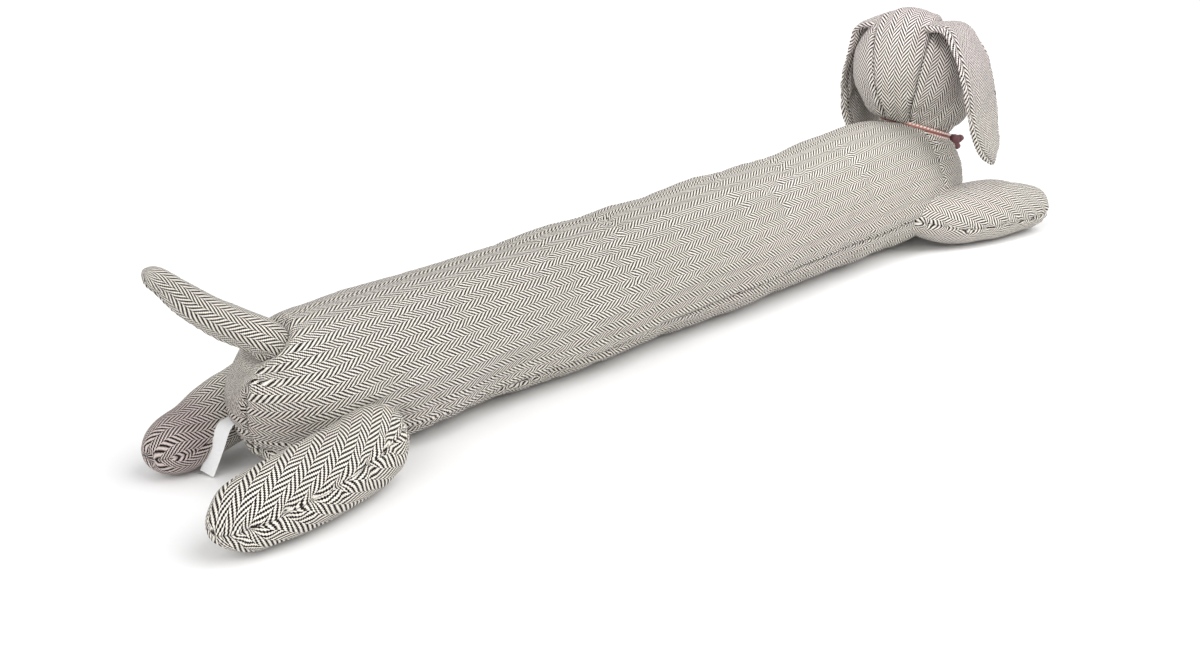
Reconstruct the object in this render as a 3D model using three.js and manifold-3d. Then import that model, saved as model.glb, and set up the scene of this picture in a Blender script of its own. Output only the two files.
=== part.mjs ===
// A dog shaped draught excluder: a long filled cloth dog that lies on the floor along a door.
// Millimetres. +X runs from the hind feet to the nose, +Y to the dog's left, +Z up.

import * as THREE from 'three';
import Module from 'manifold-3d';

const wasm = await Module();
wasm.setup();

const GAP = 0.35; // air between two pieces of cloth that lie against each other
const FLOOR = 0; // height on which the flat undersides lie

const bodyRadius = 50;
const neckRadius = 29;
const neckLean = 17; // degrees that the neck tips forward
const neckTip = 6; // degrees that it tips to the dog's right
const headTurn = 16; // degrees that the face turns to the dog's left
const bandWide = 6.5;
const bandThick = 2.6;
const earThick = 7;
const labelWide = 10;
const labelThick = 1.2;

const cream = 0x9c9184;
const rose = 0xc79187;
const mauve = 0x6b4a4c;
const white = 0xeeeeec;

const earTurn = 8; // degrees that each ear swings out from the line of the face

const degrees = THREE.MathUtils.degToRad;
const neckCentre = new THREE.Vector3(315, -1, 98);
const neckAxis = new THREE.Vector3(
  Math.tan(degrees(neckLean)),
  -Math.tan(degrees(neckTip)),
  1,
).normalize();
const faceWay = levelWay(headTurn);

// Each row is a place along a filled piece: its centre, half its breadth and half its height.
const bodyRows = [
  { at: [-397, 0, 36], wide: 46, high: 45 },
  { at: [-345, 0, 45], wide: bodyRadius - 2, high: bodyRadius - 2 },
  { at: [-250, 0, 47], wide: bodyRadius - 3, high: bodyRadius - 2.5 },
  { at: [-100, 0, 48.5], wide: bodyRadius, high: bodyRadius },
  { at: [100, 0, 50.5], wide: bodyRadius + 1, high: bodyRadius + 2 },
  { at: [240, 0, 53], wide: bodyRadius + 2, high: bodyRadius + 4 },
  { at: [300, 0, 51], wide: bodyRadius + 1, high: bodyRadius + 1 },
  { at: [352, 0, 48], wide: bodyRadius - 3, high: bodyRadius - 3 },
];

const legHindRightRows = [
  { at: [-468, -71, 22], wide: 19, high: 21 },
  { at: [-435, -70, 23], wide: 21, high: 23 },
  { at: [-395, -67, 24], wide: 22.5, high: 24 },
  { at: [-360, -58, 25], wide: 22, high: 24 },
  { at: [-330, -48, 28], wide: 19, high: 22 },
];

const legHindLeftRows = [
  { at: [-437, 42, 18], wide: 20, high: 18.5 },
  { at: [-415, 44, 20], wide: 22, high: 21.5 },
  { at: [-385, 46, 28], wide: 23, high: 22.5 },
  { at: [-345, 44, 38], wide: 22, high: 24 },
];

const pawFrontRightRows = [
  { at: [418, -76, 17.5], wide: 18, high: 17 },
  { at: [390, -71, 22], wide: 25, high: 23 },
  { at: [345, -58, 26], wide: 29, high: 27 },
  { at: [285, -36, 29], wide: 29, high: 28 },
];

const pawFrontLeftRows = [
  { at: [442, 87, 17.5], wide: 18, high: 17 },
  { at: [410, 79, 22], wide: 25, high: 23 },
  { at: [358, 60, 26], wide: 29, high: 27 },
  { at: [288, 36, 29], wide: 29, high: 28 },
];

const tailRows = [
  { at: [-350, 0, 74], wide: 12, high: 12 },
  { at: [-378, 0, 84], wide: 11.5, high: 11.5 },
  { at: [-409, 7, 104], wide: 10.5, high: 10.5 },
  { at: [-444, 8, 139], wide: 6, high: 6 },
];

const skullRows = [
  { at: [-47, 0, 6], wide: 42, high: 47 },
  { at: [-14, 0, 3], wide: 47, high: 51.5 },
  { at: [26, 0, -10], wide: 43, high: 43 },
  { at: [62, 0, -22], wide: 31, high: 30 },
  { at: [96, 0, -26], wide: 23, high: 22 },
];
const skullCentre = new THREE.Vector3(306, 4, 153);

const earRightRows = [
  { at: [291, -20, 192], wide: 16, high: earThick / 2 },
  { at: [294, -46, 191], wide: 24, high: earThick / 2 },
  { at: [294, -58, 176], wide: 29, high: earThick / 2 },
  { at: [300, -66, 152], wide: 32, high: earThick / 2 },
  { at: [307, -71, 124], wide: 33, high: earThick / 2 },
  { at: [312, -75, 96], wide: 28, high: earThick / 2 },
  { at: [315, -78, 76], wide: 18, high: earThick / 2 },
];

const earLeftRows = [
  { at: [289, 22, 193], wide: 15, high: earThick / 2 },
  { at: [297, 47, 185], wide: 24, high: earThick / 2 },
  { at: [302, 59, 165], wide: 30, high: earThick / 2 },
  { at: [304, 66, 141], wide: 33, high: earThick / 2 },
  { at: [304, 68, 119], wide: 32, high: earThick / 2 },
  { at: [304, 64, 98], wide: 27, high: earThick / 2 },
  { at: [305, 58, 80], wide: 17, high: earThick / 2 },
];

function levelWay(turn) {
  return new THREE.Vector3(Math.cos(degrees(turn)), Math.sin(degrees(turn)), 0);
}

function solidFrom(points, faces) {
  const mesh = new wasm.Mesh({
    numProp: 3,
    vertProperties: Float32Array.from(points.flatMap((point) => point.toArray())),
    triVerts: Uint32Array.from(faces.flat()),
  });
  mesh.merge();
  return new wasm.Manifold(mesh);
}

// Rings of points joined one after the other and closed by a point at each end.
function skin(rings, firstTip, lastTip) {
  const sides = rings[0].length;
  const points = [firstTip, ...rings.flat(), lastTip];
  const faces = [];
  for (let side = 0; side < sides; side += 1) {
    const next = (side + 1) % sides;
    faces.push([0, 1 + next, 1 + side]);
    for (let ring = 0; ring < rings.length - 1; ring += 1) {
      const here = 1 + ring * sides;
      const there = here + sides;
      faces.push([here + side, here + next, there + next]);
      faces.push([here + side, there + next, there + side]);
    }
    const end = 1 + (rings.length - 1) * sides;
    faces.push([end + side, end + next, points.length - 1]);
  }
  return solidFrom(points, faces);
}

// Places along a piece, close together where its ends round off.
function stops(length, startCap, endCap, rings) {
  const found = [];
  const capSteps = 4;
  for (let step = 1; step <= capSteps; step += 1) {
    found.push(startCap * (1 - Math.cos((step / capSteps) * (Math.PI / 2))));
  }
  for (let step = 1; step < rings; step += 1) {
    found.push(startCap + (step / rings) * (length - startCap - endCap));
  }
  for (let step = capSteps; step >= 1; step -= 1) {
    found.push(length - endCap * (1 - Math.cos((step / capSteps) * (Math.PI / 2))));
  }
  return found;
}

function roundOff(distance, cap) {
  if (distance >= cap) {
    return 1;
  }
  return Math.sqrt(1 - (1 - distance / cap) ** 2);
}

// A filled cloth tube that follows its rows, rounds off at both ends and lies flat on the floor.
// grow makes it larger all round, as the space that a neighbour keeps free.
function filledTube({ rows, caps, sides, rings, breadth = null, floor = FLOOR, grow = 0 }) {
  const line = new THREE.CatmullRomCurve3(rows.map((row) => new THREE.Vector3(...row.at)));
  const sizes = new THREE.CatmullRomCurve3(
    rows.map((row) => new THREE.Vector3(row.wide, row.high, 0)),
  );
  const length = line.getLength();
  const [startCap, endCap] = caps;
  const made = stops(length, startCap, endCap, rings).map((distance) => {
    const along = line.getUtoTmapping(distance / length);
    const centre = line.getPoint(along);
    const size = sizes.getPoint(along);
    const ahead = line.getTangent(along);
    const across = breadth
      ? breadth.clone().addScaledVector(ahead, -breadth.dot(ahead)).normalize()
      : new THREE.Vector3(0, 0, 1).cross(ahead).normalize();
    const upward = ahead.clone().cross(across);
    const full = roundOff(distance, startCap) * roundOff(length - distance, endCap);
    const ring = [];
    for (let side = 0; side < sides; side += 1) {
      const turn = ((side + 0.5) / sides) * Math.PI * 2;
      const point = centre
        .clone()
        .addScaledVector(across, (size.x * full + grow) * Math.cos(turn))
        .addScaledVector(upward, (size.y * full + grow) * Math.sin(turn));
      point.z = Math.max(point.z, floor - grow);
      ring.push(point);
    }
    return ring;
  });
  const firstTip = line.getPoint(0).addScaledVector(line.getTangent(0), -grow);
  const lastTip = line.getPoint(1).addScaledVector(line.getTangent(1), grow);
  return skin(made, firstTip, lastTip);
}

// A round piece about the neck's line: each pair is a height along the line and a radius.
function turnedOnNeck(profile, sides) {
  const across = new THREE.Vector3(0, 1, 0);
  const ahead = across.clone().cross(neckAxis);
  const rings = profile.map(([height, radius]) => {
    const ring = [];
    for (let side = 0; side < sides; side += 1) {
      const turn = (side / sides) * Math.PI * 2;
      ring.push(
        neckCentre
          .clone()
          .addScaledVector(neckAxis, height)
          .addScaledVector(ahead, radius * Math.cos(turn))
          .addScaledVector(across, radius * Math.sin(turn)),
      );
    }
    return ring;
  });
  const foot = neckCentre.clone().addScaledVector(neckAxis, profile[0][0]);
  const crown = neckCentre.clone().addScaledVector(neckAxis, profile[profile.length - 1][0]);
  return skin(rings, foot, crown);
}

function bodySolid(grow) {
  const tube = filledTube({ rows: bodyRows, caps: [46, 50], sides: 28, rings: 26, grow });
  const shoulder = turnedOnNeck(
    [
      [-40, neckRadius + 14 + grow],
      [-20, neckRadius + 9 + grow],
      [-8, neckRadius + 3 + grow],
      [-GAP / 2 + grow, neckRadius + grow],
    ],
    28,
  );
  return tube.add(shoulder);
}

function headSolid(grow) {
  const rows = skullRows.map(({ at: [ahead, side, up], wide, high }) => ({
    at: faceWay
      .clone()
      .multiplyScalar(ahead)
      .add(new THREE.Vector3(0, side, up))
      .add(skullCentre)
      .toArray(),
    wide,
    high,
  }));
  const skull = filledTube({ rows, caps: [42, 18], sides: 28, rings: 14, grow });
  const throat = turnedOnNeck(
    [
      [GAP / 2 - grow, neckRadius + grow],
      [8, neckRadius + 3.5 + grow],
      [20, neckRadius + 11 + grow],
      [32, neckRadius + 12 + grow],
    ],
    28,
  );
  return skull.add(throat);
}

function collarSolid(grow) {
  const half = bandWide / 2;
  const inner = neckRadius + GAP;
  const outer = inner + bandThick;
  const ring = turnedOnNeck(
    [
      [-half - grow, outer - 0.8 + grow],
      [-half + 0.8 - grow, outer + grow],
      [half - 0.8 + grow, outer + grow],
      [half + grow, outer - 0.8 + grow],
    ],
    44,
  );
  return ring.subtract(turnedOnNeck([[-12, inner - grow], [12, inner - grow]], 44));
}

function earSolid(rows, breadth) {
  return filledTube({ rows, caps: [7, 20], sides: 14, rings: 15, breadth });
}

function legSolid(rows, caps) {
  return filledTube({ rows, caps, sides: 22, rings: 9, grow: 0 });
}

// The knot is two turns of the cord drawn tight, with its two short ends below.
function knotSolid() {
  const out = new THREE.Vector3(0.6, -0.745, -0.295).normalize();
  const centre = neckCentre.clone().addScaledVector(out, neckRadius + bandThick + 6);
  const place = (ahead, side, up) => {
    return [centre.x + ahead, centre.y + side, centre.z + up];
  };
  const lumps = [
    [place(-5, 3, 2), place(3, -3, 0), 4.6],
    [place(1, 1, -4), place(2, -3, 4), 4.2],
    [place(1, -1, -1), place(4, -6, 4), 3.2],
    [place(0, 0, -2), place(0, -5, -7), 3.2],
  ];
  return lumps
    .map(([from, to, radius]) =>
      filledTube({
        rows: [
          { at: from, wide: radius, high: radius },
          { at: to, wide: radius, high: radius },
        ],
        caps: [3, 3],
        sides: 10,
        rings: 4,
        breadth: neckAxis,
      }),
    )
    .reduce((whole, lump) => whole.add(lump));
}

function labelSolid() {
  const rows = [
    { at: [-384, 22, 33] },
    { at: [-397, 20, 31] },
    { at: [-404, 22, 17] },
    { at: [-409, 26, 1.2] },
  ].map(({ at }) => ({ at, wide: labelWide / 2, high: labelThick / 2 }));
  return filledTube({
    rows,
    caps: [0.5, 0.5],
    sides: 8,
    rings: 6,
    breadth: new THREE.Vector3(0.35, -0.94, 0),
  });
}

function cut(solid, ...others) {
  return others.reduce((left, other) => left.subtract(other), solid);
}

function mesh(name, solid, color, roughness = 0.92) {
  const found = solid.getMesh();
  const geometry = new THREE.BufferGeometry();
  geometry.setAttribute('position', new THREE.BufferAttribute(found.vertProperties, 3));
  geometry.setIndex(new THREE.BufferAttribute(found.triVerts, 1));
  geometry.computeVertexNormals();
  const material = new THREE.MeshStandardMaterial({ color, roughness, metalness: 0 });
  const made = new THREE.Mesh(geometry, material);
  made.name = name;
  return made;
}

const bodyRoom = bodySolid(GAP);
const headRoom = headSolid(GAP);
const legHindLeft = cut(legSolid(legHindLeftRows, [22, 20]), bodyRoom);
const legHindLeftRoom = filledTube({ rows: legHindLeftRows, caps: [22, 20], sides: 22, rings: 9, grow: GAP });

const dog = new THREE.Group();
dog.name = 'draught_excluder';
dog.add(mesh('body', bodySolid(0), cream));
dog.add(mesh('head', cut(headSolid(0), bodyRoom), cream));
dog.add(mesh('ear_right', cut(earSolid(earRightRows, levelWay(headTurn - earTurn)), headRoom), cream));
dog.add(mesh('ear_left', cut(earSolid(earLeftRows, levelWay(headTurn + earTurn)), headRoom), cream));
dog.add(mesh('paw_front_right', cut(legSolid(pawFrontRightRows, [18, 20]), bodyRoom), cream));
dog.add(mesh('paw_front_left', cut(legSolid(pawFrontLeftRows, [18, 20]), bodyRoom), cream));
dog.add(mesh('leg_hind_right', cut(legSolid(legHindRightRows, [26, 22]), bodyRoom), cream));
dog.add(mesh('leg_hind_left', legHindLeft, cream));
dog.add(mesh('tail', cut(filledTube({ rows: tailRows, caps: [8, 9], sides: 16, rings: 10 }), bodyRoom), cream));
dog.add(mesh('collar', cut(collarSolid(0), bodyRoom, headRoom), rose, 0.8));
dog.add(mesh('collar_knot', cut(knotSolid(), bodyRoom, headRoom, collarSolid(GAP)), mauve, 0.8));
dog.add(mesh('care_label', cut(labelSolid(), bodyRoom, legHindLeftRoom), white, 0.6));

// The origin is the middle of the outer box, on the floor.
const box = new THREE.Box3().setFromObject(dog);
const middle = box.getCenter(new THREE.Vector3());
dog.children.forEach((piece) => piece.geometry.translate(-middle.x, -middle.y, -box.min.z));

export default dog;
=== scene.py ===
import math

import bmesh
import bpy
import numpy as np
from mathutils import Euler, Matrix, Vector
from mathutils.bvhtree import BVHTree


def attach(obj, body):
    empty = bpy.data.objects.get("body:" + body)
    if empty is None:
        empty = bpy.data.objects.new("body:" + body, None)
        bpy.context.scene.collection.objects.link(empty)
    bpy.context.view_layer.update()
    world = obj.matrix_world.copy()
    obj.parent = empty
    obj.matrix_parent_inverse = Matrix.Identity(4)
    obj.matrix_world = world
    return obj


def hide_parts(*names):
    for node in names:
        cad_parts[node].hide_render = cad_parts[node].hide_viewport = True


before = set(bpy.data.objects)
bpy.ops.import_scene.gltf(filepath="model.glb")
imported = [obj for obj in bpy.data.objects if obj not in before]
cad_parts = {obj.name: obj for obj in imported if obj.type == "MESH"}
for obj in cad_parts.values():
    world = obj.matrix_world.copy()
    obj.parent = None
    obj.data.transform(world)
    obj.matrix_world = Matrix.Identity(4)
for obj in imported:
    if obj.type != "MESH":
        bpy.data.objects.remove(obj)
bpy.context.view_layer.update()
print("stage: frame loaded")

# Lengths below are millimetres in the dog's own frame: +X to the nose, +Y to its left, Z up.
shift = np.array([12.7175, -4.4897, 0.0])  # from the dog's frame to the shared one


def toRow(points):
    return (np.asarray(points, dtype=float) + shift) / 1000


def fromRow(points):
    return np.asarray(points) * 1000 - shift


def unit(way):
    return way / np.linalg.norm(way)


def levelWay(turn):  # the level direction that many degrees from +X
    return np.array([math.cos(math.radians(turn)), math.sin(math.radians(turn)), 0.0])


def addObject(name, data):
    made = bpy.data.objects.new(name, data)
    bpy.context.scene.collection.objects.link(made)
    return made


# Camera

view = {"place": (-815.494, -672.994, 377.337), "tilt": 69.65, "heading": -46.86, "lens": 43.506, "sensor": 36.0}


def addCamera():
    data = bpy.data.cameras.new("camera")
    data.sensor_fit = "HORIZONTAL"
    data.sensor_width = view["sensor"]
    data.lens = view["lens"]
    data.clip_end = 100
    camera = addObject("camera", data)
    camera.location = toRow(view["place"])
    camera.rotation_euler = Euler((math.radians(view["tilt"]), 0, math.radians(view["heading"])))
    bpy.context.scene.camera = camera


addCamera()

# Lines and rings

tiny = 1e-4


# A point at t, from 0 to 1, on a smooth line through the points
def splinePoint(points, t):
    last = len(points) - 1
    start = min(int(t * last), last - 1)
    w = t * last - start
    p1, p2 = points[start], points[start + 1]
    p0 = points[start - 1] if start > 0 else 2 * points[0] - points[1]
    p3 = points[start + 2] if start + 2 <= last else 2 * points[last] - points[last - 1]
    gap0, gap1, gap2 = [np.sum((b - a) ** 2) ** 0.25 for a, b in ((p0, p1), (p1, p2), (p2, p3))]
    gap1 = gap1 if gap1 > tiny else 1.0
    gap0 = gap0 if gap0 > tiny else gap1
    gap2 = gap2 if gap2 > tiny else gap1
    m1 = ((p1 - p0) / gap0 - (p2 - p0) / (gap0 + gap1) + (p2 - p1) / gap1) * gap1
    m2 = ((p2 - p1) / gap1 - (p3 - p1) / (gap1 + gap2) + (p3 - p2) / gap2) * gap1
    return p1 + m1 * w + (3 * (p2 - p1) - 2 * m1 - m2) * w**2 + (2 * (p1 - p2) + m1 + m2) * w**3


# A smooth line through rows of a centre, a half breadth and a half height
class Line:
    def __init__(self, rows):
        self.points = [np.array(row[0], dtype=float) for row in rows]
        self.sizes = [np.array([row[1], row[2]], dtype=float) for row in rows]
        self.ts = np.linspace(0, 1, 401)
        found = np.array([splinePoint(self.points, t) for t in self.ts])
        steps = np.linalg.norm(np.diff(found, axis=0), axis=1)
        self.run = np.concatenate([[0], np.cumsum(steps)])
        self.length = self.run[-1]

    def at(self, distance):
        t = np.interp(distance, self.run, self.ts)
        ahead = splinePoint(self.points, min(t + 0.002, 1)) - splinePoint(self.points, max(t - 0.002, 0))
        return splinePoint(self.points, t), unit(ahead), splinePoint(self.sizes, t)


def capStops(cap, count):
    return [cap * (1 - math.cos(k / count * math.pi / 2)) for k in range(1, count + 1)]


# Distances along a piece, closer together where its ends round off
def stops(length, startCap, endCap, step):
    starting, ending = (capStops(cap, max(5, int(round(cap / step * 1.3)))) for cap in (startCap, endCap))
    middle = length - startCap - endCap
    count = max(2, int(round(middle / step)))
    inner = [startCap + middle * k / count for k in range(1, count)]
    return np.array(starting + inner + [length - distance for distance in reversed(ending)])


def roundOff(distance, cap):
    if distance >= cap:
        return 1.0
    return math.sqrt(max(0.0, 1 - (1 - distance / cap) ** 2))


def ringTurns(sides):
    return (np.arange(sides) + 0.5) / sides * 2 * math.pi


# Rings of a filled tube along its rows, the distance of each ring and the two tips
def tubeGrid(rows, caps, sides, step, breadth=None, shrink=0.0, box=2.0):
    line = Line(rows)
    distances = stops(line.length, caps[0], caps[1], step)
    turns = ringTurns(sides)
    c, s = np.cos(turns), np.sin(turns)
    c = np.sign(c) * np.abs(c) ** (2 / box)
    s = np.sign(s) * np.abs(s) ** (2 / box)
    grid = []
    for distance in distances:
        centre, ahead, size = line.at(distance)
        across = np.cross([0, 0, 1], ahead) if breadth is None else breadth - ahead * np.dot(breadth, ahead)
        across = unit(across)
        upward = np.cross(ahead, across)
        full = roundOff(distance, caps[0]) * roundOff(line.length - distance, caps[1])
        wide, high = np.maximum(size - shrink, 0.5) * full
        grid.append(centre + np.outer(c * wide, across) + np.outer(s * high, upward))
    return {"grid": np.array(grid), "distances": distances, "tips": (line.at(0)[0], line.at(line.length)[0])}


# Twice the rings and twice the sides, on smooth lines through the old ones
def finer(a):
    before, after, after2 = np.roll(a, 1, axis=1), np.roll(a, -1, axis=1), np.roll(a, -2, axis=1)
    mid = (9 * (a + after) - before - after2) / 16
    wide = np.stack([a, mid], axis=2).reshape(a.shape[0], a.shape[1] * 2, -1)
    longer = np.concatenate([2 * wide[:1] - wide[1:2], wide, 2 * wide[-1:] - wide[-2:-1]])
    out = np.empty((wide.shape[0] * 2 - 1,) + wide.shape[1:])
    out[0::2] = wide
    out[1::2] = (9 * (wide[:-1] + wide[1:]) - longer[:-3] - longer[3:]) / 16
    return out


def finerList(values):
    out = np.empty(len(values) * 2 - 1)
    out[0::2] = values
    out[1::2] = (values[:-1] + values[1:]) / 2
    return out


def gridNormals(grid):
    around = np.roll(grid, -1, axis=1) - np.roll(grid, 1, axis=1)
    normal = np.cross(around, np.gradient(grid, axis=0))
    normal = normal / np.maximum(np.linalg.norm(normal, axis=2, keepdims=True), 1e-9)
    outward = np.sign(np.sum(normal * (grid - grid.mean(axis=1, keepdims=True))))
    return normal * (outward if outward else 1)


# Distance round each ring from its first side, and all the way round
def ringRun(grid):
    steps = np.linalg.norm(np.roll(grid, -1, axis=1) - grid, axis=2)
    run = np.concatenate([np.zeros((len(grid), 1)), np.cumsum(steps, axis=1)], axis=1)
    return run[:, :-1], run[:, -1:]


# Distance along each lengthwise line from ring number start
def lineRun(grid, start):
    steps = np.linalg.norm(np.diff(grid, axis=0), axis=2)
    run = np.concatenate([np.zeros((1, grid.shape[1])), np.cumsum(steps, axis=0)])
    return run - run[start]


# The points of a closed tube: the first tip, the rings and the last tip
def withTips(grid, tips=None):
    first, last = tips or (grid[0].mean(axis=0), grid[-1].mean(axis=0))
    return np.concatenate([[first], grid.reshape(-1, 3), [last]])


def skinFaces(rings, sides):  # faces for the points of withTips
    faces = []
    for side in range(sides):
        after = (side + 1) % sides
        faces.append((0, 1 + after, 1 + side))
        for ring in range(rings - 1):
            here = 1 + ring * sides
            there = here + sides
            faces.append((here + side, here + after, there + after, there + side))
        end = 1 + (rings - 1) * sides
        faces.append((end + side, end + after, 1 + rings * sides))
    return faces


# Faces between rows of points, where the rows or the columns can join up again
def rowFaces(rows, columns, rowsJoin=False, columnsJoin=True):
    faces = []
    for row in range(rows if rowsJoin else rows - 1):
        here, there = row * columns, (row + 1) % rows * columns
        for column in range(columns if columnsJoin else columns - 1):
            after = (column + 1) % columns
            faces.append((here + column, here + after, there + after, there + column))
    return faces


def meshObject(name, points, faces, material=None):
    mesh = bpy.data.meshes.new(name)
    mesh.from_pydata([tuple(p) for p in toRow(points)], [], faces)
    found = bmesh.new()
    found.from_mesh(mesh)
    bmesh.ops.recalc_face_normals(found, faces=found.faces)
    found.to_mesh(mesh)
    found.free()
    mesh.shade_smooth()
    if material:
        mesh.materials.append(material)
    return addObject(name, mesh)


def discard(made):
    mesh = made.data
    bpy.data.objects.remove(made)
    bpy.data.meshes.remove(mesh)


def meshPoints(mesh):
    found = np.empty(len(mesh.vertices) * 3)
    mesh.vertices.foreach_get("co", found)
    return fromRow(found.reshape(-1, 3))


def meshFaces(mesh):
    return [tuple(polygon.vertices) for polygon in mesh.polygons]


def shownMesh(made):
    return made.evaluated_get(bpy.context.evaluated_depsgraph_get()).data


# Overlapping closed lumps made into one skin of small quads
def joinedSkin(name, points, faces, voxel):
    rough = meshObject(name, points, faces)
    remesh = rough.modifiers.new("remesh", "REMESH")
    remesh.mode = "VOXEL"
    remesh.voxel_size = voxel / 1000
    found = shownMesh(rough)
    points, faces = meshPoints(found), meshFaces(found)
    edges = np.array([tuple(edge.vertices) for edge in found.edges])
    discard(rough)
    return points, faces, edges


def relax(points, edges, rounds, amount, hold=None):
    count = np.zeros(len(points))
    np.add.at(count, edges[:, 0], 1)
    np.add.at(count, edges[:, 1], 1)
    for _ in range(rounds):
        total = np.zeros_like(points)
        np.add.at(total, edges[:, 0], points[edges[:, 1]])
        np.add.at(total, edges[:, 1], points[edges[:, 0]])
        moved = points + amount * (total / count[:, None] - points)
        points = moved if hold is None else np.where(hold[:, None], points, moved)
    return points


# Relief of the cloth, all in mm


def bell(away, wide):
    return np.exp(-((away / wide) ** 2))


def smoothStep(x, low, high):
    t = np.clip((x - low) / (high - low), 0, 1)
    return t * t * (3 - 2 * t)


def arc(degrees, radius):
    return degrees * math.pi / 180 * radius


def halfTurn(degrees):  # the same angle between -180 and 180
    return (degrees + 180) % 360 - 180


# A smooth wandering value of about -1 to 1 for each point
def unevenness(points, scale, seed):
    chance = np.random.RandomState(seed)
    total = np.zeros(points.shape[:-1])
    for _ in range(7):
        way = unit(chance.normal(size=3))
        pace = chance.uniform(0.6, 1.5)
        total += np.sin(points @ way * (2 * math.pi / scale * pace) + chance.uniform(0, 6.28))
    return total / 3.2


def swells(points, rows):  # rows of height, spacing and seed
    return sum(high * unevenness(points, scale, seed) for high, scale, seed in rows)


# Height of the cloth near a seam: the groove, the plump edges and small gathers
def seamRelief(distance, along, seed, deep, wide, pucker, pitch):
    chance = np.random.RandomState(seed)
    wander = along + 2.2 * np.sin(along / 17 + chance.uniform(0, 6)) + 1.6 * np.sin(along / 7.3 + 1)
    strength = 0.6 + 0.4 * np.sin(along / 31 + chance.uniform(0, 6))
    groove = -deep * bell(distance, wide)
    plump = 0.45 * deep * bell(np.abs(distance) - 3.0 * wide, 2.2 * wide)
    gathers = pucker * strength * np.sin(2 * math.pi * wander / pitch) * bell(distance, 3.2 * wide)
    return groove + plump + gathers


dimple = {"size": 4.0, "offSeam": 0.7, "spokes": 5, "spokeHigh": 0.4, "drawn": 2.2}


# Dimples with short creases round them, spaced along a seam, and how far they pull the cloth
def puckers(distance, along, seed, pitch, deep):
    chance = np.random.RandomState(seed)
    height = np.zeros_like(distance)
    pull = np.zeros(distance.shape + (2,))
    spot = along.min() + chance.uniform(0.5, 0.9) * pitch
    while spot < along.max():
        u = along - spot
        v = distance - chance.normal() * dimple["offSeam"]
        away = np.hypot(u, v)
        wide = dimple["size"] * chance.uniform(0.8, 1.2)
        height -= deep * chance.uniform(0.7, 1.2) * bell(away, wide)
        spokes = np.cos(dimple["spokes"] * np.arctan2(v, u) + chance.uniform(0, 6))
        height += dimple["spokeHigh"] * deep * spokes * bell(away - 1.6 * wide, 0.9 * wide)
        drawn = dimple["drawn"] * bell(away, 1.8 * wide) / np.maximum(away, 1.0)
        pull += drawn[..., None] * np.stack([u, v], axis=-1)
        spot += pitch * chance.uniform(0.8, 1.25)
    return height, pull


# Cloth simulation: each filled piece swells a little between its seams and the floor

settling = {
    "frames": 20, "quality": 5, "mass": 0.25, "stretch": 25, "shear": 8, "bend": 0.6, "drag": 6,
    "slack": -0.015, "onFloor": 0.6, "lowest": 0.3,
}
waiting = []


def settleLater(name, points, faces, held, limit, pressure):
    job = {"name": name, "points": points, "faces": faces, "held": held, "limit": limit, "pressure": pressure}
    waiting.append(job)


def startSettling(job):
    made = meshObject("settling_" + job["name"], job["points"], job["faces"])
    group = made.vertex_groups.new(name="held")
    for index in np.nonzero(job["held"] > 0)[0]:
        group.add([int(index)], float(job["held"][index]), "REPLACE")
    cloth = made.modifiers.new("cloth", "CLOTH")
    soft = cloth.settings
    soft.quality = settling["quality"]
    soft.mass = settling["mass"]
    soft.tension_stiffness = settling["stretch"]
    soft.compression_stiffness = settling["stretch"]
    soft.shear_stiffness = settling["shear"]
    soft.bending_stiffness = settling["bend"]
    soft.air_damping = settling["drag"]
    soft.use_pressure = True
    soft.uniform_pressure_force = job["pressure"]
    soft.vertex_group_mass = "held"
    soft.pin_stiffness = 1
    soft.shrink_min = settling["slack"]
    soft.effector_weights.gravity = 0
    cloth.collision_settings.use_collision = False
    cloth.collision_settings.use_self_collision = False
    cloth.point_cache.frame_start = 1
    cloth.point_cache.frame_end = settling["frames"]
    return made


# All the pieces swell together, and no point ends more than its piece's limit from its start
def settleAll():
    swelling = [startSettling(job) for job in waiting]
    for number in range(1, settling["frames"] + 1):
        bpy.context.scene.frame_set(number)
    graph = bpy.context.evaluated_depsgraph_get()
    settled = {}
    for job, soft in zip(waiting, swelling):
        start = job["points"]
        moved = meshPoints(soft.evaluated_get(graph).data) - start
        far = np.linalg.norm(moved, axis=1, keepdims=True)
        allowed = job["limit"] * np.tanh(far / job["limit"])
        found = start + moved / np.maximum(far, 1e-6) * allowed
        low = start[:, 2] < settling["onFloor"]
        found[:, 2] = np.where(low, start[:, 2], np.maximum(found[:, 2], settling["lowest"]))
        settled[job["name"]] = found
        print("settled", job["name"], "moved up to", round(float(allowed.max()), 2), "mm")
        discard(soft)
    bpy.context.scene.frame_set(1)
    return settled


# Materials


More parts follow.
